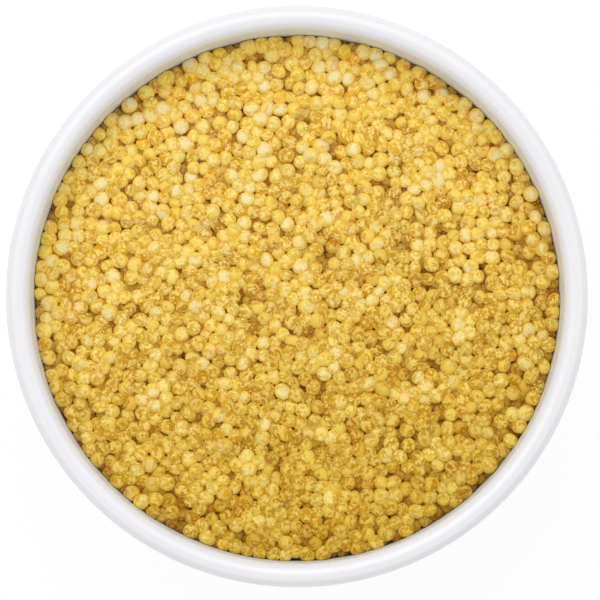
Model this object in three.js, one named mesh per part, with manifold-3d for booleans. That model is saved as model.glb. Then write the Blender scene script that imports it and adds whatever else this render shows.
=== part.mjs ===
// A small round porcelain bowl, filled almost to its rim with small round golden grains.
// Millimetres, +Z up. The origin is the middle of the foot ring, on the surface that the bowl stands on.
//
// The bowl is one turned wall: a foot ring, a rounded body, a fully rounded lip and a rounded inside.
// The grains are one solid: a core that follows the bowl's inside with a small gap, under a surface of
// bumps, one bump for each grain that shows. The largest grains are domes, and the rest are pointed.
import * as THREE from "three";
import { mergeVertices } from "three/addons/utils/BufferGeometryUtils.js";
import Module from "manifold-3d";

// The bowl.
const RIM_RADIUS = 27.5;
const BOWL_HEIGHT = 26;
const LIP_THICKNESS = 2.25;
const FLOOR_THICKNESS = 3;
const FOOT_RADIUS = 14;
const FOOT_WIDTH = 2;
const FOOT_HEIGHT = 2;
const FOOT_RECESS = 1.4;
const FOOT_CHAMFER = 0.3;

// The curves of its walls, by the handles that bend them.
const WALL_LEAN = 0.5; // of the outside, inwards, from the lip down to the handle below it
const WALL_BEND = { outside: 0.42, inside: 0.3 }; // heights of those handles, as shares of the bowl's
const UNDERSIDE_REACH = 0.52; // the underside's handle, as a share of the way out to the rim
const UNDERSIDE_RISE = 0.3; // of that handle above the top of the foot ring
const BASIN_REACH = 0.7; // the floor's handle, as a share of the inside's radius

// The facets of the turned solids, round them and along their profiles.
const TURNS = { bowl: 48, core: 40 };
const STEPS = { wall: 8, lip: 6, core: 6 };

// The grains.
const GRAIN_RADIUS = { least: 0.47, most: 0.86, usual: 0.7 };
const SIZE_SKEW = 0.75; // under 1, so that large grains are commoner than small ones
const FILL_DEPTH = 4.9; // from the lip's top down to the grains' mean surface at the wall
const CROWN = 0.3; // how much higher the grains' mean surface is in the middle
const UNEVENNESS = 0.16; // of the mean surface, up and down
const WAVES = [
  { alongX: 0.21, alongY: 0.13, start: 0.6 },
  { alongX: -0.17, alongY: 0.24, start: 2.1 },
  { alongX: 0.33, alongY: -0.29, start: 4.4 },
];
const GRAIN_RISE = 0.2; // of one grain above or below its neighbours
const SIZE_RISE = 0.5; // how much higher a grain stands for each unit of radius over the usual one
const BUMP_SHARE = 0.95; // a bump's height over the hollows round it, as a share of its grain's radius
const WALL_GAP = 0.3;
const PACKING = 0.86; // the share of the surface that grains cover, seen from above
const SHAKES = 90; // rounds of pushing overlapping grains apart
const DOMES = 300;
const DOME_RING = 0.62; // where a dome's ring of corners lies, from its top to its outline
const SEED = 7;
const GOLDEN_ANGLE = Math.PI * (3 - Math.sqrt(5));
const MERGE_DISTANCE = 1e-4;

const LIP_RADIUS = LIP_THICKNESS / 2;
const WALL_TOP = BOWL_HEIGHT - LIP_RADIUS;
const CAVITY_FLOOR = FOOT_RECESS + FLOOR_THICKNESS;
const CAVITY_RADIUS = RIM_RADIUS - LIP_THICKNESS;

// A repeatable stream of random numbers from 0 to 1.
function randomStream(seed) {
  let state = seed;
  return () => {
    state = (state + 0x6d2b79f5) | 0;
    let t = Math.imul(state ^ (state >>> 15), 1 | state);
    t = (t + Math.imul(t ^ (t >>> 7), 61 | t)) ^ t;
    return ((t ^ (t >>> 14)) >>> 0) / 4294967296;
  };
}

// Points are (radius, height) pairs, and each profile runs anticlockwise round its material.
const at = (radius, height) => new THREE.Vector2(radius, height);

// The body's outside, from the foot ring up to the lip.
function outsideCurve() {
  const underside = FOOT_RADIUS + UNDERSIDE_REACH * (RIM_RADIUS - FOOT_RADIUS);
  return new THREE.CubicBezierCurve(
    at(FOOT_RADIUS, FOOT_HEIGHT),
    at(underside, FOOT_HEIGHT + UNDERSIDE_RISE),
    at(RIM_RADIUS - WALL_LEAN, BOWL_HEIGHT * WALL_BEND.outside),
    at(RIM_RADIUS, WALL_TOP),
  );
}

// The bowl's inside, from the lip down to the middle of its floor.
function insideCurve() {
  return new THREE.CubicBezierCurve(
    at(CAVITY_RADIUS, WALL_TOP),
    at(CAVITY_RADIUS, BOWL_HEIGHT * WALL_BEND.inside),
    at(CAVITY_RADIUS * BASIN_REACH, CAVITY_FLOOR),
    at(0, CAVITY_FLOOR),
  );
}

// The half circle over the top of the wall, without its two ends.
function lipArc() {
  const middle = at(RIM_RADIUS - LIP_RADIUS, WALL_TOP);
  const points = [];
  for (let i = 1; i < STEPS.lip; i++) {
    const angle = (Math.PI * i) / STEPS.lip;
    points.push(at(middle.x + LIP_RADIUS * Math.cos(angle), middle.y + LIP_RADIUS * Math.sin(angle)));
  }
  return points;
}

function footPoints() {
  const footInside = FOOT_RADIUS - FOOT_WIDTH;
  return [
    at(0, FOOT_RECESS),
    at(footInside - FOOT_RECESS / 2, FOOT_RECESS),
    at(footInside, FOOT_CHAMFER),
    at(footInside + FOOT_CHAMFER, 0),
    at(FOOT_RADIUS - FOOT_CHAMFER, 0),
    at(FOOT_RADIUS, FOOT_CHAMFER),
  ];
}

function bowlProfile() {
  const outside = outsideCurve().getPoints(STEPS.wall);
  const inside = insideCurve().getPoints(STEPS.wall);
  return [...footPoints(), ...outside, ...lipArc(), ...inside];
}

// The inside curve moved inwards by the gap, for the core of the grains, which reaches up to the lip.
function coreProfile() {
  const wall = insideCurve();
  const points = [at(0, BOWL_HEIGHT)];
  for (let i = 0; i < STEPS.core; i++) {
    const along = wall.getTangent(i / STEPS.core);
    const point = wall.getPoint(i / STEPS.core);
    points.push(at(point.x + WALL_GAP * along.y, point.y - WALL_GAP * along.x));
  }
  points[1].y = BOWL_HEIGHT;
  points.push(at(0, CAVITY_FLOOR + WALL_GAP));
  return points.reverse();
}

function turned(profile, turns) {
  return new THREE.LatheGeometry(profile, turns).rotateX(Math.PI / 2);
}

// The mean height of the grains' surface: a low crown with a few long, shallow waves.
function surfaceHeight(x, y) {
  const share = Math.min(1, Math.hypot(x, y) / CAVITY_RADIUS);
  const waves = WAVES.map((wave) => Math.sin(wave.alongX * x + wave.alongY * y + wave.start));
  const uneven = waves.reduce((sum, wave) => sum + wave, 0) / WAVES.length;
  return BOWL_HEIGHT - FILL_DEPTH + CROWN * (1 - share ** 2) + UNEVENNESS * uneven;
}

// Grains seen from above: evenly spread, then shaken and pushed apart until hardly any two overlap.
function scatterGrains() {
  const random = randomStream(SEED);
  const { least, most, usual } = GRAIN_RADIUS;
  const reach = CAVITY_RADIUS + 2 * most;
  const count = Math.round((PACKING * reach ** 2) / usual ** 2);
  const jitter = () => 2 * least * (2 * random() - 1);
  const grains = [];
  for (let i = 0; i < count; i++) {
    const distance = reach * Math.sqrt((i + 0.5) / count);
    const angle = GOLDEN_ANGLE * i;
    grains.push({
      x: distance * Math.cos(angle) + jitter(),
      y: distance * Math.sin(angle) + jitter(),
      radius: least + (most - least) * ((random() + random() + random()) / 3) ** SIZE_SKEW,
      rise: GRAIN_RISE * (2 * random() - 1),
    });
  }
  for (let round = 0; round < SHAKES; round++) {
    pushApart(grains);
    keepWithin(grains, reach);
  }
  return grains;
}

// Moves each two grains that overlap away from each other, by half of the overlap each.
function pushApart(grains) {
  grains.sort((a, b) => a.x - b.x);
  grains.forEach((a, i) => {
    for (let j = i + 1; j < grains.length; j++) {
      const b = grains[j];
      if (b.x - a.x > 2 * GRAIN_RADIUS.most) break;
      const distance = Math.hypot(b.x - a.x, b.y - a.y) || MERGE_DISTANCE;
      const overlap = a.radius + b.radius - distance;
      if (overlap <= 0) continue;
      const push = overlap / (2 * distance);
      const dx = push * (b.x - a.x);
      const dy = push * (b.y - a.y);
      a.x -= dx;
      a.y -= dy;
      b.x += dx;
      b.y += dy;
    }
  });
}

function keepWithin(grains, reach) {
  for (const grain of grains) {
    const share = Math.hypot(grain.x, grain.y) / reach;
    if (share > 1) {
      grain.x /= share;
      grain.y /= share;
    }
  }
}

// Joins the points into triangles by Bowyer and Watson's method, and leaves out the outermost ones.
function triangulate(points) {
  const far = 1e4;
  const all = [...points, { x: -far, y: -far }, { x: far, y: -far }, { x: 0, y: far }];
  const n = points.length;
  let triangles = [circled(all, n, n + 1, n + 2)];
  points.forEach((p, index) => {
    const edges = new Map();
    const kept = [];
    for (const t of triangles) {
      if ((p.x - t.x) ** 2 + (p.y - t.y) ** 2 > t.square) {
        kept.push(t);
        continue;
      }
      for (const [a, b] of [[t.a, t.b], [t.b, t.c], [t.c, t.a]]) {
        if (!edges.delete(b + "," + a)) edges.set(a + "," + b, [a, b]);
      }
    }
    for (const [a, b] of edges.values()) kept.push(circled(all, a, b, index));
    triangles = kept;
  });
  return triangles.filter((t) => Math.max(t.a, t.b, t.c) < n);
}

// A triangle with the middle and the squared radius of the circle through its corners.
function circled(points, a, b, c) {
  const corner = points[a];
  const second = { x: points[b].x - corner.x, y: points[b].y - corner.y };
  const third = { x: points[c].x - corner.x, y: points[c].y - corner.y };
  const fourAreas = 2 * (second.x * third.y - second.y * third.x);
  const secondSquare = second.x ** 2 + second.y ** 2;
  const thirdSquare = third.x ** 2 + third.y ** 2;
  const x = (third.y * secondSquare - second.y * thirdSquare) / fourAreas;
  const y = (second.x * thirdSquare - third.x * secondSquare) / fourAreas;
  return { a, b, c, x: corner.x + x, y: corner.y + y, square: x ** 2 + y ** 2 };
}

// The bottom of the hollow between three grains: nearer to the smaller ones, and below all three.
function hollowBetween(grains) {
  const hollow = new THREE.Vector3();
  let total = 0;
  for (const grain of grains) {
    const weight = 1 / grain.radius;
    hollow.x += weight * grain.x;
    hollow.y += weight * grain.y;
    hollow.z += (grain.top - BUMP_SHARE * grain.radius) / grains.length;
    total += weight;
  }
  hollow.x /= total;
  hollow.y /= total;
  return hollow;
}

// Gives each grain the height of its top and the hollows round it, one for each two neighbours.
function findHollows(grains) {
  for (const grain of grains) {
    const extra = SIZE_RISE * (grain.radius - GRAIN_RADIUS.usual);
    grain.top = surfaceHeight(grain.x, grain.y) + grain.rise + extra;
    grain.hollows = [];
  }
  for (const t of triangulate(grains)) {
    const corners = [grains[t.a], grains[t.b], grains[t.c]];
    const hollow = hollowBetween(corners);
    corners.forEach((grain, i) => {
      grain.hollows.push({ hollow, next: corners[(i + 1) % 3], last: corners[(i + 2) % 3] });
    });
  }
}

// The hollows round a grain in anticlockwise order, or null at the scattering's outer edge.
function outlineOf(grain) {
  const byNext = new Map(grain.hollows.map((h) => [h.next, h]));
  const outline = [];
  let step = grain.hollows[0];
  while (step && outline.length < grain.hollows.length) {
    outline.push(step.hollow);
    step = byNext.get(step.last);
  }
  return step && outline.length > 2 && step === grain.hollows[0] ? outline : null;
}

// The largest of the grains inside the bowl.
function domedGrains(grains) {
  const inside = grains.filter((grain) => Math.hypot(grain.x, grain.y) < CAVITY_RADIUS);
  inside.sort((a, b) => b.radius - a.radius);
  return new Set(inside.slice(0, DOMES));
}

// A point of the ring of corners that rounds a dome, on the way from its top to a corner of its outline.
function onDome(top, corner) {
  const point = top.clone().lerp(corner, DOME_RING);
  point.z = corner.z + (top.z - corner.z) * Math.sqrt(1 - DOME_RING ** 2);
  return point;
}

// One grain's triangles: a fan from its top to its outline, with a ring between them in a dome.
function grainTriangles(grain, outline, domed) {
  const top = new THREE.Vector3(grain.x, grain.y, grain.top);
  return outline.flatMap((corner, i) => {
    const after = outline[(i + 1) % outline.length];
    if (!domed) return [[top, corner, after]];
    const inner = onDome(top, corner);
    const innerAfter = onDome(top, after);
    return [[top, inner, innerAfter], [inner, corner, after], [inner, after, innerAfter]];
  });
}

// The bumpy surface as a list of triangles.
function bumpTriangles(grains) {
  findHollows(grains);
  const domed = domedGrains(grains);
  return grains.flatMap((grain) => {
    const outline = outlineOf(grain);
    return outline ? grainTriangles(grain, outline, domed.has(grain)) : [];
  });
}

// Closes the surface downwards to a flat bottom under it.
function slabGeometry(faces, bottom) {
  const positions = [];
  const add = (...points) => points.forEach((p) => positions.push(p.x, p.y, p.z));
  const flat = (point) => new THREE.Vector3(point.x, point.y, bottom);
  const key = (p) => p.x.toFixed(5) + "," + p.y.toFixed(5);
  const edges = new Map();
  for (const [a, b, c] of faces) {
    add(a, b, c);
    add(flat(a), flat(c), flat(b));
    for (const [p, q] of [[a, b], [b, c], [c, a]]) {
      if (!edges.delete(key(q) + " " + key(p))) edges.set(key(p) + " " + key(q), [p, q]);
    }
  }
  for (const [p, q] of edges.values()) {
    add(p, flat(p), flat(q));
    add(p, flat(q), q);
  }
  const attribute = new THREE.Float32BufferAttribute(positions, 3);
  return new THREE.BufferGeometry().setAttribute("position", attribute);
}

// A closed geometry as a manifold-3d solid.
function solidOf(wasm, geometry) {
  const bare = geometry.clone();
  bare.deleteAttribute("normal");
  bare.deleteAttribute("uv");
  const merged = mergeVertices(bare, MERGE_DISTANCE);
  return new wasm.Manifold(
    new wasm.Mesh({
      numProp: 3,
      vertProperties: new Float32Array(merged.attributes.position.array),
      triVerts: new Uint32Array(merged.index.array),
    }),
  );
}

// A manifold-3d solid as a geometry.
function geometryOf(solid) {
  const mesh = solid.getMesh();
  const geometry = new THREE.BufferGeometry();
  geometry.setAttribute("position", new THREE.BufferAttribute(mesh.vertProperties, 3));
  geometry.setIndex(new THREE.BufferAttribute(mesh.triVerts, 1));
  geometry.computeVertexNormals();
  return geometry;
}

async function grainGeometry() {
  const wasm = await Module();
  wasm.setup();
  const core = solidOf(wasm, turned(coreProfile(), TURNS.core));
  const slab = solidOf(wasm, slabGeometry(bumpTriangles(scatterGrains()), 0));
  return geometryOf(core.intersect(slab));
}

function named(name, geometry, colour, roughness) {
  const material = new THREE.MeshStandardMaterial({ color: colour, roughness, metalness: 0 });
  const mesh = new THREE.Mesh(geometry, material);
  mesh.name = name;
  return mesh;
}

const bowlOfGrain = new THREE.Group();
bowlOfGrain.add(
  named("bowl", turned(bowlProfile(), TURNS.bowl), 0xf4f4f6, 0.15),
  named("grain_heap", await grainGeometry(), 0xdcb04c, 0.4),
);

export default bowlOfGrain;
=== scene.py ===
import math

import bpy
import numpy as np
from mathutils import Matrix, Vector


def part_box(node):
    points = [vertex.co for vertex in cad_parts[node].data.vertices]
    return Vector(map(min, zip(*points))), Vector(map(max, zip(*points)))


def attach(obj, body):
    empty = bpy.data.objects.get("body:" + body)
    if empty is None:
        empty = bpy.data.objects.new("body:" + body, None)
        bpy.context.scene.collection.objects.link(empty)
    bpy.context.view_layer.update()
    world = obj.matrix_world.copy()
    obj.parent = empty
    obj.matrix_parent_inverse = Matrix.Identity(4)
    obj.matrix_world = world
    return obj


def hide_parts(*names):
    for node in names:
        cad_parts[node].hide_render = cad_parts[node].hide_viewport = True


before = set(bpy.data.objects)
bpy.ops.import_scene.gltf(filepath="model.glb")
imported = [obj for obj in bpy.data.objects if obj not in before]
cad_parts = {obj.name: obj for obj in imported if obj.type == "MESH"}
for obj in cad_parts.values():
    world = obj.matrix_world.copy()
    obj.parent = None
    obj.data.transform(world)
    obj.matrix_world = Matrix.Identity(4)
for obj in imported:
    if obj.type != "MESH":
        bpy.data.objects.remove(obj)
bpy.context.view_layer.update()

# A small white porcelain bowl, filled almost to its rim with small round golden grains.
#
# Lengths are millimetres, and MM turns them into metres. +Y is the top of the picture, and the origin is the
# middle of the foot ring, on the surface that the bowl stands on.

MM = 0.001
TINY = 1e-9  # a length that counts as nothing
BODY = "root"
SEED = 11

# The bowl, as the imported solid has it.
RIM_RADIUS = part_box("bowl")[1].x / MM
BOWL_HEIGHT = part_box("bowl")[1].z / MM
LIP_THICKNESS = 2.25
FLOOR_THICKNESS = 3
FOOT_RADIUS = 14
FOOT_WIDTH = 2
FOOT_HEIGHT = 2
FOOT_RECESS = 1.4
FOOT_CHAMFER = 0.3
WALL_LEAN = 0.5  # of the outside
WALL_BEND = {"outside": 0.42, "inside": 0.3}
UNDERSIDE_REACH = 0.52
UNDERSIDE_RISE = 0.3
BASIN_REACH = 0.7
LIP_RADIUS = LIP_THICKNESS / 2
WALL_TOP = BOWL_HEIGHT - LIP_RADIUS
CAVITY_FLOOR = FOOT_RECESS + FLOOR_THICKNESS
CAVITY_RADIUS = RIM_RADIUS - LIP_THICKNESS

# How finely the bowl is made.
BOWL_STEPS = {"outside": 48, "lip": 24, "inside": 64, "turns": 256}
FOOT_JOIN = 3  # the point of the outside's curve to which the foot's outline runs
CORNER = {"radius": 0.45, "edge_share": 0.45, "steps": 6}  # the small roundings at the foot ring
WALL_STEPS = 200  # of the curve that keeps the grains off the wall

# The heap of grains.
FILL_DEPTH = 4.9
CROWN = 0.3
UNEVENNESS = 0.16
WAVES = ((0.21, 0.13, 0.6), (-0.17, 0.24, 2.1), (0.33, -0.29, 4.4))  # radians a millimetre in x and y, start
GRAIN_COUNT = 4200
GRAIN_RADIUS = {"least": 0.47, "most": 0.86}
SIZE_DRAWS = 3  # averaged, which makes middling grains the most usual
SIZE_SKEW = 0.5  # below 1, more grains are wide than narrow
DRAWS_A_GRAIN = 3  # some places are drawn outside the bowl, and are left out
BED_DEPTH = 2.1  # of loose grains over the core
DRAWN_OVER_CORE = {"least": 0.3, "most": 1.9 * BED_DEPTH}  # the heights that the grains sink from
LID_SLACK = 0.12  # how far over or under the uneven top a grain may reach
BIG_GRAINS_RISE = {"over": 0.6, "share": 0.5}  # grains with a larger radius come to lie higher
CLUMPS = {"waves": 40, "least": 0.7, "most": 2.5, "height": 0.12}  # least and most radians a millimetre
ON_CORE = 0.5  # the least height of a grain's middle over the core, in its radii
WALL_CLEARANCE = 0.02

# How the grains settle: in each round they drop, and those that overlap are pushed apart.
ROUNDS = 400
DROP = 0.015
PUSH = 0.3  # the share of an overlap by which each grain of a pair moves
LAST_ROUNDS = {"count": 60, "drop": 0.15 * DROP}  # in which they come to rest
PAIRS = {"rounds": 5, "slack": 0.25}  # the rounds that a list of near pairs is used for, and its extra reach
DECIMALS = 7  # the places are rounded, so that each run gives the same

# The core under them, with half-sunk bumps on it.
CORE_GAP = 0.12  # between the core and the bowl
CORE_BUMPS = {"radius": 0.72, "apart": 0.3, "row": 0.866, "stray": 0.25, "sunk": 0.3}
CORE_STEPS = {"wall": 60, "rings": 110, "turns": 300, "parts": 40}

# A grain's own form. Depths and heights are shares of its radius.
FLATNESS = 0.8  # a grain's thickness over its width
SQUARENESS = 4  # 2 makes a grain an ellipsoid, and more a pill with flatter faces
PRESSED = 1.22  # the grains' widths over the ones that they are packed with
NOTCH = {"deepest": 0.12, "width": 0.38}
RIPPLES = {"count": 4, "pitch": 2.4, "start": 6.3, "height": 0.022}
LENGTH_SPREAD = 0.07
THICKNESS = {"spread": 0.07, "least": 0.62, "most": 1}
TIPPING = 0.45  # the spread of the angles, in radians, by which grains are tipped over
FINE_GRAIN = {"rings": 7, "turns": 18}
COARSE_GRAIN = {"rings": 3, "turns": 10}
SHOWS_ABOVE = -0.6  # how high over the mean top a grain stands that gets the finer mesh
LIT = {"dim": 0.3, "dim_at": -0.73, "full_at": -0.1}  # painted shade: how much of the pale marks' painted light shows, by that height
AT_POLE = 0.9999  # the least Z of a direction that is a pole
CELL_SHARE = 0.46  # how far a grain's disc reaches from the middle of its cell in the baked map
NOISE_REACH = 40  # how far apart the grains are in the noise that marks them

# The light, the camera and the floor.
PIXEL = 0.0945  # what one pixel of the picture spans at the rim
PICTURE = 600
CAMERA_DISTANCE = 450
CAMERA_LEAN = {"east": 0.6, "south": 2.3}  # degrees from straight above
CAMERA_CLIP = (0.01, 10)  # metres
AIM = (0.37, -0.3)  # the picture's middle, from the rim's middle
SENSOR = 36
FLOOR = {"radius": 900, "turns": 96, "dark": (0.11, 0.11, 0.11), "pale": (0.13, 0.13, 0.13)}
FLOOR_FINISH = {"Emission_Color": (1, 1, 1), "Emission_Strength": 0.86, "Roughness": 0.7}
SKY = (1, 0.99, 1)
SOFTBOX_RING = {"height": 0.72, "reach": 0.2, "bright": 1.8, "dim": 0.53}
BRIGHT_SIDE = (-0.35, 0.94, 0)
SIDE_STRENGTH = {"dark": 0.8, "bright": 1.2}
KEY_LIGHT = {"azimuth": -35, "elevation": 64, "distance": 600, "size": 400, "power": 0.72}


def linear(red, green, blue):
    """A colour given as it looks on a screen, 0 to 255, as the linear numbers that shaders take."""
    screen = np.array([red, green, blue]) / 255
    return tuple(np.where(screen <= 0.04045, screen / 12.92, ((screen + 0.055) / 1.055) ** 2.4))


# The porcelain.
GLAZE = {"dark": (0.835, 0.828, 0.85), "pale": (0.855, 0.85, 0.87)}
GLAZE_LINE = {"from": 0.25, "to": 0.4, "stray": 0.15}  # the height where the glaze begins
BARE_CLAY = linear(222, 216, 206)
PAINTED_WALL_TINT = {"colour": (0.84, 0.9, 0.985), "over": 17}  # painted light: bluer and paler than the glaze, against the yellow light that the grains throw on the inner wall
WALL_EDGE = {"from": -0.05, "to": 0.45}  # where that ends, from the cavity's radius
ROUGHNESS = {"glaze": (0.07, 0.13), "clay": 0.5, "wall": 0.35, "grain": (0.16, 0.34), "core": (0.35, 0.6)}

# The kinds of grain: the share of those that show, from the lowest up, the tint and its spread, and how
# chalky the middle is, least and most.
KINDS = {
    "amber": {"share": 0.28, "tint": linear(221, 163, 14), "spread": 0.14, "chalk": (0.0, 0.1)},
    "golden": {"share": 0.32, "tint": linear(230, 180, 34), "spread": 0.1, "chalk": (0.0, 0.15)},
    "straw": {"share": 0.28, "tint": linear(237, 192, 52), "spread": 0.08, "chalk": (0.0, 0.35)},
    "pale": {"share": 0.12, "tint": linear(241, 200, 72), "spread": 0.05, "chalk": (0.2, 0.95)},
}
KIND_MIXING = {"spread": 0.14, "patch": 0.16}  # added to a grain's height when the kinds are given out
# Painted shade: the core is dark brown, for the shade deep among the grains.
CORE_SHADE_TINTS = {"dark": linear(80, 44, 4), "pale": linear(130, 80, 16)}

# What changes a grain's colour, as exponents for red, green and blue: painted light to the north and by the
# wall, painted shade to the south and on grains that lie low, and random patches.
TONES = {
    "north": (0.33, 0.43, 1.1),
    "patch": (0.09, 0.15, 0.28),
    "sunk": (-3.2, -4.2, -6.0),
    "by_wall": (0.25, 0.25, 0.25),
}
NORTH = (-0.5, 1)  # the way across the bowl in which the grains get paler, as painted light
SUNK = {"from": 0.25, "most": 0.6}  # painted shade on grains that lie low: how far under the mean top this starts, and the most that it counts
BY_WALL = {"from": 2.4, "full": 0.4, "middle": 0.6, "north": 0.4}  # painted light on grains near the wall, stronger to the north: two distances from it, two strengths
WARMTH = (0, 0.3, 1.6)  # how much a grain's own yellowing counts for red, green and blue
CHALK_NORTH = 0.6  # painted light: how much paler the chalky middles get that way
SHADE_SHARE = 0.56  # how much of a darkening tone, painted shade and random patches, darkens the whole grain, pale marks too
BRIGHTEST = 0.985
GREENEST = 0.72  # green over red

# The marks in a grain. Covers are how much of the tint a mark hides.
DEEPENING = (0.72, 0.58, 0.24)  # the colour that darkens the tint towards the rim, in some facets and in specks
CHALK = linear(242, 228, 172)
PAINTED_RIM_LIGHT = {"colour": linear(247, 217, 106), "cover": 0.75}  # painted light: paler thin edges, for light that comes out through them and reflects off them
PAINTED_FLECK_LIGHT = {"colour": linear(248, 219, 118), "cover": 0.75}  # painted light: small bright spots where light gathers within
# Painted highlights: small sharp glints on the grains.
PAINTED_GLINT = {"colour": linear(251, 230, 148), "cover": 0.85}
FACETS = {"scale": 2.3, "relief": 0.25}
GRAIN_GLOSS = {"IOR": 1.32, "Specular_Tint": (1, 0.86, 0.45)}

# The strength of each mark: the values between which it changes, and how strong it is at the two.
MARKS = {
    "ring": (0.25, 0.6, 0.1, 0.6),
    "facet": (0.18, 0.5, 0.75, 0),
    "speck": (0.34, 0.42, 0.5, 0),
    "fleck": (0.85, 1.35, 0, 1),
    "glint": (0.56, 0.66, 0, 0.9),
    "chalk": (0.3, 0.75, 1, 0),
    "chalk_cloud": (0.35, 0.6, 0.55, 1),
    "rim": (0.66, 0.86, 0, 1),
}

# Each noise's scale and detail. The scales are per radius in the grains and per metre in the rest.
NOISES = {
    "grain_middle": (1.5, 2),
    "grain_rim": (2, 2),
    "grain_glint": (3.2, 1),
    "grain_speck": (5.5, 2),
    "grain_chalk": (3, 2),
    "grain_gloss": (4, 3),
    "grain_relief": (2.2, 2),
    "core_cloud": (900, 3),
    "glaze_cloud": (90, 3),
    "glaze_ripples": (160, 2),
    "glaze_gloss": (400, 3),
    "glaze_line": (900, 2),
    "floor_cloud": (3, 2),
}
NOISE_SPAN = (0.3, 0.7)  # what most of a noise's values lie between
STRAY = {"middle": 0.22, "rim": 0.12}  # how far the noise moves a grain's middle and rim


# Shapes


def bezier(start, first, second, end, steps):
    t = np.linspace(0, 1, steps + 1)[:, None]
    start, first, second, end = (np.array(p, float) for p in (start, first, second, end))
    return start * (1 - t) ** 3 + 3 * first * t * (1 - t) ** 2 + 3 * second * t**2 * (1 - t) + end * t**3


def outside_curve(steps):
    """The body's outside, from the foot ring up to the lip, as (radius, height) pairs."""
    underside = FOOT_RADIUS + UNDERSIDE_REACH * (RIM_RADIUS - FOOT_RADIUS)
    return bezier(
        (FOOT_RADIUS, FOOT_HEIGHT),
        (underside, FOOT_HEIGHT + UNDERSIDE_RISE),
        (RIM_RADIUS - WALL_LEAN, BOWL_HEIGHT * WALL_BEND["outside"]),
        (RIM_RADIUS, WALL_TOP),
        steps,
    )


def inside_curve(steps):
    """The bowl's inside, from the lip down to the middle of its floor."""
    return bezier(
        (CAVITY_RADIUS, WALL_TOP),
        (CAVITY_RADIUS, BOWL_HEIGHT * WALL_BEND["inside"]),
        (CAVITY_RADIUS * BASIN_REACH, CAVITY_FLOOR),
        (0, CAVITY_FLOOR),
        steps,
    )


def lip_arc(steps):
    """The lip's half round, without its two ends."""
    angle = np.linspace(0, math.pi, steps + 1)[1:-1, None]
    middle = np.array([RIM_RADIUS - LIP_RADIUS, WALL_TOP])
    return middle + LIP_RADIUS * np.hstack([np.cos(angle), np.sin(angle)])


def rounded(points):
    """The outline through the points, short of the last, with a small curve in place of each corner."""
    points = [np.array(p, float) for p in points]
    outline = [points[0]]
    for before, corner, after in zip(points, points[1:], points[2:]):
        back, on = before - corner, after - corner
        room = CORNER["edge_share"] * np.linalg.norm(back), CORNER["edge_share"] * np.linalg.norm(on)
        reach = min(CORNER["radius"], *room)
        start = corner + reach * back / np.linalg.norm(back)
        end = corner + reach * on / np.linalg.norm(on)
        first, second = (start + 2 * corner) / 3, (end + 2 * corner) / 3
        outline += list(bezier(start, first, second, end, CORNER["steps"]))
    return np.array(outline)


def bowl_profile():
    """Once round the bowl's wall, from the middle of its underside to the middle of its inside."""
    foot_inside = FOOT_RADIUS - FOOT_WIDTH
    body = outside_curve(BOWL_STEPS["outside"])[FOOT_JOIN:]
    foot = [
        (0, FOOT_RECESS),
        (foot_inside - FOOT_RECESS / 2, FOOT_RECESS),
        (foot_inside, FOOT_CHAMFER),
        (foot_inside + FOOT_CHAMFER, 0),
        (FOOT_RADIUS - FOOT_CHAMFER, 0),
        (FOOT_RADIUS, FOOT_CHAMFER),
        (FOOT_RADIUS, FOOT_HEIGHT),
        body[0],
    ]
    return np.vstack([rounded(foot), body, lip_arc(BOWL_STEPS["lip"]), inside_curve(BOWL_STEPS["inside"])])


def turned(profile, turns):
    """A closed body turned about Z, as vertices and triangles. Its profile starts and ends on the axis."""
    angle = np.linspace(0, 2 * math.pi, turns, endpoint=False)
    radius, height = profile[1:-1, 0, None], profile[1:-1, 1, None]
    rings = np.stack([radius * np.cos(angle), radius * np.sin(angle), height + 0 * angle], -1)
    poles = [[0, 0, profile[0, 1]], [0, 0, profile[-1, 1]]]
    vertices = np.vstack([rings.reshape(-1, 3), poles])
    return vertices, turned_triangles(len(rings), turns)


def turned_triangles(rings, turns):
    """The triangles between rings of vertices and two poles, which come last, the first ring's first."""
    here = np.arange(turns)
    after = (here + 1) % turns
    low = (np.arange(rings - 1) * turns)[:, None]
    a, b, c, d = low + here, low + after, low + turns + after, low + turns + here
    first_pole, last_pole = rings * turns, rings * turns + 1
    top = (rings - 1) * turns
    return np.vstack(
        [
            np.stack([np.full(turns, first_pole), after, here], 1),
            np.stack([a, b, c], -1).reshape(-1, 3),
            np.stack([a, c, d], -1).reshape(-1, 3),
            np.stack([top + here, top + after, np.full(turns, last_pole)], 1),
        ]
    )


def added(name, data):
    """A new object with this data, linked to the scene."""
    thing = bpy.data.objects.new(name, data)
    bpy.context.scene.collection.objects.link(thing)
    return thing


def new_piece(name, vertices, triangles, material, node):
    """A smooth piece from arrays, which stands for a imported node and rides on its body."""
    mesh = bpy.data.meshes.new(name)
    mesh.vertices.add(len(vertices))
    mesh.vertices.foreach_set("co", (vertices * MM).astype(np.float32).ravel())
    mesh.loops.add(triangles.size)
    mesh.loops.foreach_set("vertex_index", triangles.astype(np.int32).ravel())
    mesh.polygons.add(len(triangles))
    mesh.polygons.foreach_set("loop_start", np.arange(0, triangles.size, 3, dtype=np.int32))
    mesh.update(calc_edges=True)
    mesh.shade_smooth()
    mesh.materials.append(material)
    piece = added(name, mesh)
    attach(piece, BODY)
    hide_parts(node)
    return piece


# How the grains lie


def surface_height(x, y):
    """The mean height of the grains' tops: a low crown with a few long, shallow waves."""
    share = np.minimum(1, np.hypot(x, y) / CAVITY_RADIUS)
    waves = sum(np.sin(a * x + b * y + start) for a, b, start in WAVES)
    return BOWL_HEIGHT - FILL_DEPTH + CROWN * (1 - share**2) + UNEVENNESS * waves / len(WAVES)


def wall_radius(height):
    """The inside's radius at these heights."""
    curve = inside_curve(WALL_STEPS)[::-1]
    return np.interp(height, curve[:, 1], curve[:, 0])


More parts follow.
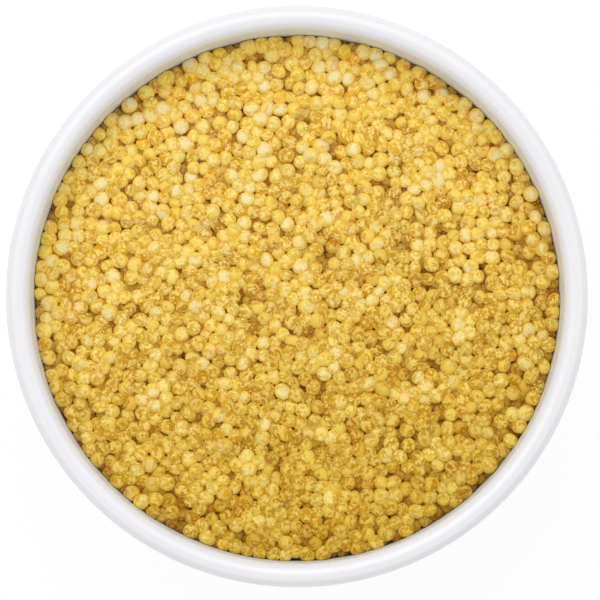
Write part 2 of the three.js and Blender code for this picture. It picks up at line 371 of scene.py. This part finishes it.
def near_pairs(places, reach):
    """The pairs of places that are nearer than reach, found through a grid of cells."""
    cell = np.floor((places - places.min(0)) / reach).astype(np.int64) + 1
    wide, deep, _ = cell.max(0) + 2
    key = (cell[:, 2] * deep + cell[:, 1]) * wide + cell[:, 0]
    order = np.argsort(key, kind="stable")
    ranked = key[order]
    rank = np.arange(len(key))
    found = []
    for dx, dy, dz in [(x, y, z) for z in (0, 1) for y in (-1, 0, 1) for x in (-1, 0, 1)]:
        step = (dz * deep + dy) * wide + dx
        if step < 0:
            continue
        start = np.searchsorted(ranked, ranked + step, "left") if step else rank + 1
        count = np.maximum(np.searchsorted(ranked, ranked + step, "right") - start, 0)
        first = np.repeat(rank, count)
        within = np.arange(count.sum()) - np.repeat(np.cumsum(count) - count, count)
        second = np.repeat(start, count) + within
        found.append(np.stack([order[first], order[second]]))
    a, b = np.hstack(found)
    near = ((places[a] - places[b]) ** 2).sum(1) < reach**2
    return a[near], b[near]


def drawn_radii(random):
    """The radii that the grains are packed with."""
    least, most = GRAIN_RADIUS["least"], GRAIN_RADIUS["most"]
    share = random.uniform(0, 1, (GRAIN_COUNT, SIZE_DRAWS)).mean(1) ** SIZE_SKEW
    return (least + (most - least) * share) / PRESSED


def drawn_places(random):
    """Loose places over the core, evenly spread."""
    side = CAVITY_RADIUS - GRAIN_RADIUS["least"]
    draws = random.uniform(-side, side, (DRAWS_A_GRAIN * GRAIN_COUNT, 2))
    x, y = draws[(draws**2).sum(1) < side**2][:GRAIN_COUNT].T
    lift = random.uniform(DRAWN_OVER_CORE["least"], DRAWN_OVER_CORE["most"], GRAIN_COUNT)
    return np.stack([x, y, surface_height(x, y) - BED_DEPTH + lift], 1)


def push_apart(places, radii, a, b):
    """Moves grains that overlap away from each other. Heights count for more, as grains are flat."""
    squeeze = np.array([1, 1, 1 / FLATNESS])
    apart = (places[b] - places[a]) * squeeze
    distance = np.sqrt((apart**2).sum(1)) + TINY
    overlap = radii[a] + radii[b] - distance
    meets = overlap > 0
    a, b = a[meets], b[meets]
    push = (PUSH * overlap[meets] / distance[meets])[:, None] * apart[meets] / squeeze
    for axis in range(3):
        moved = np.bincount(b, push[:, axis], len(places)) - np.bincount(a, push[:, axis], len(places))
        places[:, axis] += moved


def keep_in_bowl(places, radii):
    """Holds the grains inside the wall and over the core."""
    bottom = surface_height(places[:, 0], places[:, 1]) - BED_DEPTH + ON_CORE * radii
    places[:, 2] = np.maximum(places[:, 2], bottom)
    room = wall_radius(places[:, 2]) - WALL_CLEARANCE - radii
    share = np.minimum(1, room / np.maximum(np.sqrt(places[:, 0] ** 2 + places[:, 1] ** 2), TINY))
    places[:, 0] *= share
    places[:, 1] *= share


def clumps(random):
    """A smooth random function over the bowl, with a spread of 1, for what neighbouring grains share."""
    count = CLUMPS["waves"]
    way = random.uniform(0, 2 * math.pi, count)
    pitch = random.uniform(CLUMPS["least"], CLUMPS["most"], count)
    start = random.uniform(0, 2 * math.pi, count)
    along = np.stack([np.cos(way), np.sin(way)]) * pitch
    return lambda places: np.cos(places[:, :2] @ along + start).sum(1) * math.sqrt(2 / count)


def settled_grains(random, rise):
    """Places and radii of grains that have sunk into a close bed over the core, under an uneven top."""
    radii = drawn_radii(random)
    places = drawn_places(random)
    lift = random.uniform(-LID_SLACK, LID_SLACK, GRAIN_COUNT)
    lift += BIG_GRAINS_RISE["share"] * (radii - BIG_GRAINS_RISE["over"]) - FLATNESS * radii
    reach = 2 * GRAIN_RADIUS["most"] + PAIRS["slack"]
    for step in range(ROUNDS):
        if step % PAIRS["rounds"] == 0:
            a, b = near_pairs(places, reach)
        places[:, 2] -= DROP if step < ROUNDS - LAST_ROUNDS["count"] else LAST_ROUNDS["drop"]
        push_apart(places, radii, a, b)
        lid = surface_height(places[:, 0], places[:, 1]) + CLUMPS["height"] * rise(places)
        places[:, 2] = np.minimum(places[:, 2], lid + lift)
        keep_in_bowl(places, radii)
        places = np.round(places, DECIMALS)
    return places, radii


# The grains' shapes


def grain_template(rings, turns):
    """A round ball's directions, its triangles, and the place of each triangle's corners on a disc."""
    tilt = np.linspace(0, math.pi, rings + 2)[1:-1][::-1, None]
    angle = np.linspace(0, 2 * math.pi, turns, endpoint=False)
    across, up = np.sin(tilt), np.cos(tilt) + 0 * angle
    grid = np.stack([across * np.cos(angle), across * np.sin(angle), up], -1)
    directions = np.vstack([grid.reshape(-1, 3), [[0, 0, -1], [0, 0, 1]]])
    triangles = turned_triangles(rings, turns)
    return directions, triangles, disc_places(directions, triangles)


def disc_places(directions, triangles):
    """Lays a ball's triangles flat on a disc: the top in the middle and the bottom spread round the edge."""
    corner = directions[triangles]
    out = np.arccos(np.clip(corner[:, :, 2], -1, 1)) / math.pi
    angle = np.arctan2(corner[:, :, 1], corner[:, :, 0])
    middle = np.arctan2(corner[:, :, 1].sum(1), corner[:, :, 0].sum(1))
    angle = np.where(np.abs(corner[:, :, 2]) > AT_POLE, middle[:, None], angle)
    return np.stack([out * np.cos(angle), out * np.sin(angle)], -1)


def turns_of(random, count):
    """A rotation for each grain: about its short axis, and tipped over."""
    spin, lean, way = random.uniform(0, 2 * math.pi, (3, count))
    tip = np.abs(random.normal(0, TIPPING, count))
    axis = np.stack([np.cos(way), np.sin(way), np.zeros(count)], 1)
    return about(axis, tip) @ about(np.tile([0.0, 0.0, 1.0], (count, 1)), spin + lean)


def about(axis, angle):
    """Rotation matrices about unit axes."""
    x, y, z = axis.T
    none = np.zeros(len(axis))
    cross = np.array([[none, -z, y], [z, none, -x], [-y, x, none]]).transpose(2, 0, 1)
    sine, rest = np.sin(angle)[:, None, None], 1 - np.cos(angle)[:, None, None]
    return np.eye(3) + sine * cross + rest * cross @ cross


def grain_shapes(random, directions, radii):
    """Each grain's own form: a thick lens with a rounded rim, a notch in it, and a little unevenness."""
    count = len(radii)
    size = 1 - notches(random, directions, count) + ripples(random, directions, count)
    long_side = 1 + np.abs(random.normal(0, LENGTH_SPREAD, (count, 1)))
    thick = random.normal(FLATNESS, THICKNESS["spread"], (count, 1))
    thick = np.clip(thick, THICKNESS["least"], THICKNESS["most"])
    across = np.hypot(directions[:, 0], directions[:, 1])
    reach = (across**SQUARENESS + np.abs(directions[:, 2]) ** SQUARENESS) ** (-1 / SQUARENESS)
    x, y, z = (directions * reach[:, None]).T
    unit = np.stack([size * long_side * x, size / long_side * y, size * thick * z], -1)
    return PRESSED * radii[:, None, None] * unit


def notches(random, directions, count):
    """A dent in each grain's rim, deeper in some than in others."""
    angle = np.arctan2(directions[:, 1], directions[:, 0])
    level = 1 - np.abs(directions[:, 2])
    depth = random.uniform(0, NOTCH["deepest"], (count, 1))
    return depth * np.exp(-((angle / NOTCH["width"]) ** 2)) * level**2


def ripples(random, directions, count):
    """Shallow waves over each grain, in ways of its own."""
    waves = RIPPLES["count"]
    ways = random.normal(0, 1, (count, waves, 3))
    ways /= np.linalg.norm(ways, axis=2, keepdims=True)
    start = random.uniform(0, RIPPLES["start"], (count, waves, 1))
    return RIPPLES["height"] * np.cos(RIPPLES["pitch"] * ways @ directions.T + start).sum(1)


def flatten_on_wall(vertices):
    """Presses what would reach into the bowl's wall flat against it."""
    room = wall_radius(vertices[..., 2]) - WALL_CLEARANCE
    share = np.minimum(1, room / np.maximum(np.hypot(vertices[..., 0], vertices[..., 1]), TINY))
    vertices[..., :2] *= share[..., None]


def grains_piece(random, name, grains, kind, template, material):
    """One mesh with all the grains of a kind that lie in the same layer."""
    directions, triangles, disc = template
    count, each = len(grains["radii"]), len(directions)
    looks = looks_of(random, kind, grains)
    shapes = grain_shapes(random, directions, grains["radii"])
    vertices = shapes @ turns_of(random, count).transpose(0, 2, 1) + grains["places"][:, None]
    flatten_on_wall(vertices)
    corners = (triangles + each * np.arange(count)[:, None, None]).reshape(-1, 3)
    piece = new_piece(name, vertices.reshape(-1, 3), corners, material, "grain_heap")
    noise_place = random.uniform(-NOISE_REACH, NOISE_REACH, (count, 1, 3)) + directions
    for key in ("tint", "shade"):
        colours = np.hstack([looks[key], np.ones((count, 1))])
        write_attribute(piece, key, "FLOAT_COLOR", "color", colours.repeat(each, 0))
    for key in ("chalk", "lit"):
        write_attribute(piece, key, "FLOAT", "value", looks[key].repeat(each))
    write_attribute(piece, "own", "FLOAT_VECTOR", "vector", np.tile(directions, (count, 1)))
    write_attribute(piece, "noise_place", "FLOAT_VECTOR", "vector", noise_place)
    lay_out(piece, disc, count)


def write_attribute(piece, name, kind, key, values):
    attribute = piece.data.attributes.new(name, kind, "POINT")
    attribute.data.foreach_set(key, np.asarray(values, np.float32).ravel())


def lay_out(piece, disc, count):
    """The map through which the colours are baked: each grain has a cell of its own."""
    side = math.ceil(math.sqrt(count))
    cell = np.stack([np.arange(count) % side, np.arange(count) // side], 1)
    flat = (cell[:, None, None] + 0.5 + CELL_SHARE * disc) / side
    layer = piece.data.uv_layers.new(name="OFBake", do_init=False)
    layer.uv.foreach_set("vector", flat.astype(np.float32).ravel())


# The grains' looks


def northness(places):
    """How far the places lie the way in which the grains get paler, over the cavity's radius."""
    return places[:, :2] @ NORTH / CAVITY_RADIUS


def tones(places, stand, patch):
    """How each grain's colour departs from its kind's, as exponents for red, green and blue: painted light
    to the north and by the wall, painted shade to the south and on sunk grains, and random patches.
    """
    x, y = places[:, :2].T / CAVITY_RADIUS
    from_wall = CAVITY_RADIUS * (1 - np.hypot(x, y))
    near = np.interp(from_wall, [BY_WALL["full"], BY_WALL["from"]], [1, 0])
    shares = {
        "north": northness(places),
        "patch": patch,
        "sunk": np.clip(-SUNK["from"] - stand, 0, SUNK["most"]),
        "by_wall": near * (BY_WALL["middle"] + BY_WALL["north"] * y),
    }
    return sum(shares[name][:, None] * np.array(tone) for name, tone in TONES.items())


def tints_of(random, kind, tone):
    """The colours of a kind's grains: its tint, with a little darkening and yellowing of each one's own,
    brightened by the tones: painted light and random patches.
    """
    count = len(tone)
    shade = np.exp(-np.abs(random.normal(0, kind["spread"], (count, 1))))
    warmth = random.normal(0, kind["spread"], (count, 1)) * WARMTH
    tints = np.clip(np.array(kind["tint"]) * shade * np.exp(warmth + np.maximum(tone, 0)), 0, BRIGHTEST)
    tints[:, 1] = np.minimum(tints[:, 1], GREENEST * tints[:, 0])
    return tints


def looks_of(random, kind, grains):
    """What the material reads of each grain. The shade, painted shade and random patches, darkens all of it,
    and lit dims the painted light of the pale marks.
    """
    count = len(grains["radii"])
    return {
        "tint": tints_of(random, kind, grains["tone"]),
        "shade": np.exp(SHADE_SHARE * np.minimum(grains["tone"], 0)),
        # painted light: the chalky middles paler to the north
        "chalk": random.uniform(*kind["chalk"], count) * (1 + CHALK_NORTH * northness(grains["places"])),
        "lit": grains["lit"],
    }


def kinds_of(random, stand, patch, shows):
    """Each grain's kind, as a number. The kinds lie in patches; their tints are the grains' own, and the
    paler ones going to the higher grains is painted shade on the lower.
    """
    score = stand + random.normal(0, KIND_MIXING["spread"], len(stand)) + KIND_MIXING["patch"] * patch
    steps = np.cumsum([kind["share"] for kind in KINDS.values()])[:-1]
    return np.searchsorted(np.quantile(score[shows], steps), score)


# Materials


class Nodes:
    """A node tree, with a short way to add and join its nodes."""

    def __init__(self, tree, shader="Principled BSDF"):
        self.tree = tree
        self.shader = tree.nodes[shader]

    def add(self, kind, inputs=None, **settings):
        node = self.tree.nodes.new(kind)
        for key, value in settings.items():
            setattr(node, key, value)
        for key, value in (inputs or {}).items():
            self.put(node.inputs[key], value)
        return node

    def put(self, socket, value):
        if isinstance(value, bpy.types.NodeSocket):
            self.tree.links.new(value, socket)
        elif hasattr(value, "__len__") and len(value) == 3 and socket.type == "RGBA":
            socket.default_value = (*value, 1)
        else:
            socket.default_value = value

    def set_shader(self, **values):
        for key, value in values.items():
            self.put(self.shader.inputs[key.replace("_", " ")], value)

    def place(self, output="Object"):
        return self.add("ShaderNodeTexCoord").outputs[output]

    def attribute(self, name, output):
        return self.add("ShaderNodeAttribute", attribute_name=name).outputs[output]

    def maths(self, operation, *values):
        return self.add("ShaderNodeMath", dict(enumerate(values)), operation=operation).outputs[0]

    def height(self, place):
        return self.add("ShaderNodeSeparateXYZ", {"Vector": place}).outputs["Z"]

    def off_axis(self, place):
        """How far a place is from the Z axis."""
        flat = self.add("ShaderNodeVectorMath", {0: place, 1: (1, 1, 0)}, operation="MULTIPLY").outputs[0]
        return self.add("ShaderNodeVectorMath", {0: flat}, operation="LENGTH").outputs["Value"]

    def spread(self, value, low, high, to_low=0.0, to_high=1.0, kind="SMOOTHSTEP"):
        inputs = {"Value": value, "From Min": low, "From Max": high, "To Min": to_low, "To Max": to_high}
        return self.add("ShaderNodeMapRange", inputs, interpolation_type=kind).outputs[0]

    def noise(self, place, name):
        scale, detail = NOISES[name]
        inputs = {"Vector": place, "Scale": scale, "Detail": detail}
        return self.add("ShaderNodeTexNoise", inputs).outputs["Fac"]

    def cloudy(self, place, name, low, high):
        """A noise whose values lie between low and high."""
        return self.spread(self.noise(place, name), *NOISE_SPAN, low, high)

    def mixed(self, share, first, second, blend="MIX"):
        node = self.add("ShaderNodeMix", data_type="RGBA", blend_type=blend)
        self.put(node.inputs["Factor"], share)
        self.put(node.inputs[6], first)
        self.put(node.inputs[7], second)
        return node.outputs[2]

    def marked(self, colour, share, mark, tint):
        """The colour under a mark, which lets some of the grain's tint through."""
        return self.mixed(share, colour, self.mixed(mark["cover"], tint, mark["colour"]))

    def bump(self, height, distance, strength):
        inputs = {"Height": height, "Distance": distance * MM, "Strength": strength}
        return self.add("ShaderNodeBump", inputs).outputs[0]


def new_material(name):
    material = bpy.data.materials.new(name)
    material.use_nodes = True
    return material, Nodes(material.node_tree)


def porcelain_material():
    """White gloss glaze with a faint cloudiness, on a body left bare under the foot ring, and painted light
    on the inner wall.
    """
    material, nodes = new_material("porcelain")
    place = nodes.place()
    height = nodes.height(place)
    wall = inner_wall(nodes, place, height)
    glaze = nodes.mixed(nodes.noise(place, "glaze_cloud"), GLAZE["dark"], GLAZE["pale"])
    # Painted light: the inner wall's glaze bluer and paler, against the grains' yellow light on it.
    glaze = nodes.mixed(wall, glaze, PAINTED_WALL_TINT["colour"])
    stray = nodes.maths("MULTIPLY", nodes.noise(place, "glaze_line"), GLAZE_LINE["stray"] * MM)
    edge = nodes.maths("ADD", height, stray)
    glazed = nodes.spread(edge, GLAZE_LINE["from"] * MM, GLAZE_LINE["to"] * MM)
    rough = nodes.cloudy(place, "glaze_gloss", *ROUGHNESS["glaze"])
    rough = nodes.maths("ADD", rough, nodes.spread(glazed, 0, 1, ROUGHNESS["clay"], 0))
    rough = nodes.maths("ADD", rough, nodes.maths("MULTIPLY", wall, ROUGHNESS["wall"]))
    ripples = nodes.bump(nodes.noise(place, "glaze_ripples"), distance=0.05, strength=0.25)
    colour = nodes.mixed(glazed, BARE_CLAY, glaze)
    nodes.set_shader(Base_Color=colour, Roughness=rough, Normal=ripples, IOR=1.52)
    return material


def inner_wall(nodes, place, height):
    """1 on the inside of the wall, from a little below the grains' top, and 0 on the lip and outside."""
    start, end = CAVITY_RADIUS + WALL_EDGE["from"], CAVITY_RADIUS + WALL_EDGE["to"]
    inside = nodes.spread(nodes.off_axis(place), start * MM, end * MM, 1, 0)
    low = PAINTED_WALL_TINT["over"]
    return nodes.maths("MULTIPLY", inside, nodes.spread(height, low * MM, (low + 1) * MM))


def grain_material(name):
    """Smooth grain that looks glassy, with facets in it that are also faintly in relief."""
    material, nodes = new_material(name)
    place = nodes.attribute("noise_place", "Vector")
    cells = nodes.add("ShaderNodeTexVoronoi", {"Vector": place, "Scale": FACETS["scale"]}).outputs["Color"]
    facet = nodes.add("ShaderNodeSeparateColor", {"Color": cells}).outputs[0]
    colour = grain_colour(nodes, place, facet)
    rough = nodes.cloudy(place, "grain_gloss", *ROUGHNESS["grain"])
    relief = nodes.maths("MULTIPLY", facet, FACETS["relief"])
    relief = nodes.maths("ADD", nodes.noise(place, "grain_relief"), relief)
    bump = nodes.bump(relief, distance=0.14, strength=0.5)
    nodes.set_shader(Base_Color=colour, Roughness=rough, Normal=bump, **GRAIN_GLOSS)
    return material


def grain_colour(nodes, place, facet):
    """The tint with dark marks, painted light in flecks, glints and rim, a chalky middle, and painted shade
    over all.
    """
    tint = nodes.attribute("tint", "Color")
    lit = nodes.attribute("lit", "Fac")
    out = nodes.off_axis(nodes.attribute("own", "Vector"))
    middle = nodes.maths("ADD", out, nodes.cloudy(place, "grain_middle", -STRAY["middle"], STRAY["middle"]))
    glint = nodes.noise(place, "grain_glint")
    deep = nodes.mixed(1, tint, DEEPENING, "MULTIPLY")
    colour = nodes.mixed(dark_marks(nodes, place, middle, facet), tint, deep)
    # Painted light: flecks, glints and rim, dimmed by lit as painted shade on grains that lie low.
    flecks = nodes.maths("MULTIPLY", nodes.spread(nodes.maths("ADD", facet, glint), *MARKS["fleck"]), lit)
    colour = nodes.marked(colour, flecks, PAINTED_FLECK_LIGHT, tint)
    glints = nodes.maths("MULTIPLY", nodes.spread(glint, *MARKS["glint"]), lit)
    colour = nodes.marked(colour, glints, PAINTED_GLINT, tint)
    colour = nodes.mixed(chalky_middle(nodes, place, middle), colour, CHALK)
    edge = nodes.maths("ADD", out, nodes.cloudy(place, "grain_rim", -STRAY["rim"], STRAY["rim"]))
    edge = nodes.maths("MULTIPLY", nodes.spread(edge, *MARKS["rim"]), lit)
    colour = nodes.marked(colour, edge, PAINTED_RIM_LIGHT, tint)
    # The painted shade, with random patches, over the whole grain.
    return nodes.mixed(1, colour, nodes.attribute("shade", "Color"), "MULTIPLY")


def dark_marks(nodes, place, middle, facet):
    """Where a grain is darker: towards its rim, in some facets and in specks."""
    ring = nodes.spread(middle, *MARKS["ring"])
    dark = nodes.maths("MAXIMUM", ring, nodes.spread(facet, *MARKS["facet"]))
    specks = nodes.spread(nodes.noise(place, "grain_speck"), *MARKS["speck"])
    return nodes.maths("MAXIMUM", dark, specks)


def chalky_middle(nodes, place, middle):
    """The cloudy white middle, as strong as each grain's own chalk."""
    cloud = nodes.spread(nodes.noise(place, "grain_chalk"), *MARKS["chalk_cloud"])
    cloud = nodes.maths("MULTIPLY", cloud, nodes.attribute("chalk", "Fac"))
    return nodes.maths("MULTIPLY", nodes.spread(middle, *MARKS["chalk"]), cloud)


def core_material():
    material, nodes = new_material("grain_core")
    place = nodes.place()
    # Painted shade: dark brown, for the shade deep among the grains.
    colour = nodes.mixed(nodes.noise(place, "core_cloud"), CORE_SHADE_TINTS["dark"], CORE_SHADE_TINTS["pale"])
    rough = nodes.cloudy(place, "core_cloud", *ROUGHNESS["core"])
    nodes.set_shader(Base_Color=colour, Roughness=rough, IOR=1.5)
    return material


# The pieces


def make_bowl():
    vertices, triangles = turned(bowl_profile(), BOWL_STEPS["turns"])
    new_piece("porcelain_bowl", vertices, triangles, porcelain_material(), "bowl")


def core_surface(random, x, y):
    """The core's top: half-sunk grains side by side."""
    pitch = 2 * GRAIN_RADIUS["least"] + CORE_BUMPS["apart"]
    side = np.arange(-CAVITY_RADIUS, CAVITY_RADIUS, pitch)
    spots = np.stack(np.meshgrid(side, side * CORE_BUMPS["row"], indexing="ij"), -1)
    spots[:, ::2, 0] += pitch / 2
    stray = random.uniform(-CORE_BUMPS["stray"], CORE_BUMPS["stray"], (spots.size // 2, 2))
    spots = spots.reshape(-1, 2) + stray
    height = np.empty(len(x))
    for part in np.array_split(np.arange(len(x)), CORE_STEPS["parts"]):
        apart = (x[part, None] - spots[:, 0]) ** 2 + (y[part, None] - spots[:, 1]) ** 2
        height[part] = np.sqrt(np.maximum(CORE_BUMPS["radius"] ** 2 - apart.min(1), 0))
    return surface_height(x, y) - BED_DEPTH + height - CORE_BUMPS["sunk"]


def make_core(random):
    """The closed body under the loose grains, inside the bowl's wall."""
    wall = inside_curve(CORE_STEPS["wall"])
    along = np.gradient(wall, axis=0)
    along /= np.linalg.norm(along, axis=1)[:, None]
    inner = wall + CORE_GAP * np.stack([along[:, 1], -along[:, 0]], 1)
    inner[-1, 0] = 0
    edge = BOWL_HEIGHT - FILL_DEPTH - BED_DEPTH
    inner = inner[inner[:, 1] < edge][::-1]
    rings = np.linspace(inner[-1, 0], 0, CORE_STEPS["rings"])[1:]
    top = np.stack([rings, np.full(len(rings), edge)], 1)
    vertices, triangles = turned(np.vstack([inner, top]), CORE_STEPS["turns"])
    on_top = np.abs(vertices[:, 2] - edge) < TINY
    vertices[on_top, 2] = core_surface(random, *vertices[on_top, :2].T)
    new_piece("grain_core", vertices, triangles, core_material(), "grain_heap")


def make_grains(random):
    """The loose grains, a piece for each kind in each layer. Only the top layer has the finer mesh."""
    rise = clumps(random)
    places, radii = settled_grains(random, rise)
    stand = places[:, 2] + radii * FLATNESS - surface_height(places[:, 0], places[:, 1])
    patch = clumps(random)(places)
    tone = tones(places, stand, patch)
    lit = np.interp(stand, [LIT["dim_at"], LIT["full_at"]], [LIT["dim"], 1])
    grains = {"places": places, "radii": radii, "tone": tone, "lit": lit}
    shows = stand > SHOWS_ABOVE
    kind_of = kinds_of(random, stand, patch, shows)
    fine, coarse = grain_template(**FINE_GRAIN), grain_template(**COARSE_GRAIN)
    layers = {"top": (shows, fine), "under": (~shows, coarse)}
    for number, (name, kind) in enumerate(KINDS.items()):
        material = grain_material(f"grain_{name}")
        for layer, (chosen, template) in layers.items():
            these = chosen & (kind_of == number)
            if these.any():
                own = {key: values[these] for key, values in grains.items()}
                grains_piece(random, f"{name}_grains_{layer}", own, kind, template, material)


# The stage


def make_floor():
    angle = np.linspace(0, 2 * math.pi, FLOOR["turns"], endpoint=False)
    rim = np.stack([np.cos(angle), np.sin(angle), 0 * angle], 1) * FLOOR["radius"] * MM
    mesh = bpy.data.meshes.new("floor")
    mesh.from_pydata(rim.tolist(), [], [list(range(len(rim)))])
    material, nodes = new_material("floor")
    colour = nodes.mixed(nodes.noise(nodes.place(), "floor_cloud"), FLOOR["dark"], FLOOR["pale"])
    nodes.set_shader(Base_Color=colour, **FLOOR_FINISH)
    mesh.materials.append(material)
    floor = added("floor", mesh)


def make_light():
    """A sky with a brighter ring round it and a brighter side, and one large soft light."""
    scene = bpy.context.scene
    scene.view_settings.view_transform = "Standard"
    scene.world = bpy.data.worlds.new("studio")
    scene.world.use_nodes = True
    nodes = Nodes(scene.world.node_tree, "Background")
    place = nodes.place("Generated")
    off = nodes.maths("ABSOLUTE", nodes.maths("SUBTRACT", nodes.height(place), SOFTBOX_RING["height"]))
    strength = nodes.spread(off, 0, SOFTBOX_RING["reach"], SOFTBOX_RING["bright"], SOFTBOX_RING["dim"])
    dot = nodes.add("ShaderNodeVectorMath", {0: place, 1: BRIGHT_SIDE}, operation="DOT_PRODUCT")
    dark, bright = SIDE_STRENGTH["dark"], SIDE_STRENGTH["bright"]
    side = nodes.spread(dot.outputs["Value"], -1, 1, dark, bright, "LINEAR")
    nodes.set_shader(Color=SKY, Strength=nodes.maths("MULTIPLY", strength, side))
    add_area("key", **KEY_LIGHT)


def add_area(name, azimuth, elevation, distance, size, power):
    """A square soft light. Azimuth 0 is the top of the picture, and 90 its right."""
    data = bpy.data.lights.new(name, "AREA")
    data.size = size * MM
    data.energy = power
    light = added(name, data)
    way, up = math.radians(azimuth), math.radians(elevation)
    out = Vector((math.sin(way) * math.cos(up), math.cos(way) * math.cos(up), math.sin(up)))
    light.location = out * distance * MM + Vector((0, 0, BOWL_HEIGHT * MM))
    light.rotation_euler = (-out).to_track_quat("-Z", "Y").to_euler()


def make_camera():
    """Looks down on the bowl, with the top of the picture towards +Y."""
    data = bpy.data.cameras.new("camera")
    data.sensor_width = SENSOR
    data.lens = SENSOR * CAMERA_DISTANCE / (PICTURE * PIXEL)
    data.clip_start, data.clip_end = CAMERA_CLIP
    camera = added("camera", data)
    east, south = (math.tan(math.radians(CAMERA_LEAN[way])) for way in ("east", "south"))
    out = Vector((east, -south, 1)).normalized()
    aim = Vector((*AIM, WALL_TOP)) * MM
    camera.location = aim + out * CAMERA_DISTANCE * MM
    camera.rotation_mode = "QUATERNION"
    camera.rotation_quaternion = (-out).to_track_quat("-Z", "Y")
    bpy.context.scene.camera = camera


random = np.random.default_rng(SEED)
make_camera()
make_bowl()
make_core(random)
make_grains(random)
make_floor()
make_light()
